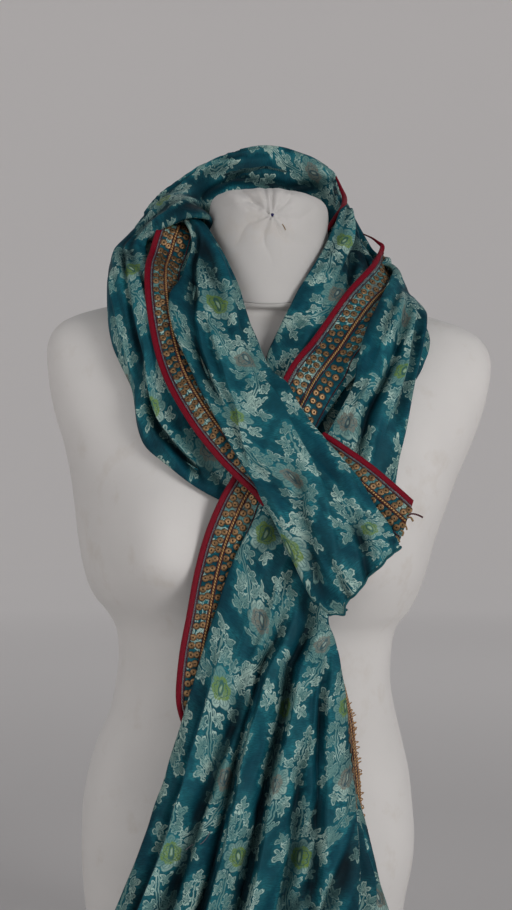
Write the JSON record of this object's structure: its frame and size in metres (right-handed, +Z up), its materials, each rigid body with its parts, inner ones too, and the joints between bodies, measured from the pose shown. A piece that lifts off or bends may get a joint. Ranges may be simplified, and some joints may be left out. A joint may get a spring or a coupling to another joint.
{
  "type": "dupatta stole on a limbless dress form",
  "caption": "Long floral brocade stole with sequinned, piped borders, wound about the neck of a white limbless dress form, one end crossing the chest and the other falling in a fanned tail.",
  "frame": {"origin": "middle of the flat foot of the dress form", "axes": "+Z up, -Y the way the chest faces, +X to the right seen from the front"},
  "size_m": [0.398, 0.2924, 0.7763],
  "materials": {
    "teal_brocade": "soft silk-cotton brocade, teal ground",
    "crimson_piping": "satin piping, crimson",
    "gold_braid": "twisted metallic thread, antique gold",
    "white_cover": "stretched matt jersey cover, off-white"
  },
  "bodies": {
    "root": {"back_wrap_inner": "teal_brocade", "back_wrap_outer": "teal_brocade", "braid_back": "gold_braid", "braid_cross": "gold_braid", "braid_end": "gold_braid", "braid_fall": "gold_braid", "braid_tail": "gold_braid", "cross_end_ply": "teal_brocade", "cross_hem": "teal_brocade", "cross_panel": "teal_brocade", "fall_hem": "teal_brocade", "fall_panel": "teal_brocade", "form_neck": "white_cover", "form_torso": "white_cover", "loop_left": "teal_brocade", "loop_right": "teal_brocade", "piping_back": "crimson_piping", "piping_cross": "crimson_piping", "piping_end": "crimson_piping", "piping_fall": "crimson_piping", "piping_tail": "crimson_piping", "tail_back_ply": "teal_brocade", "tail_hem": "teal_brocade", "tail_panel": "teal_brocade"}
  },
  "joints": []
}
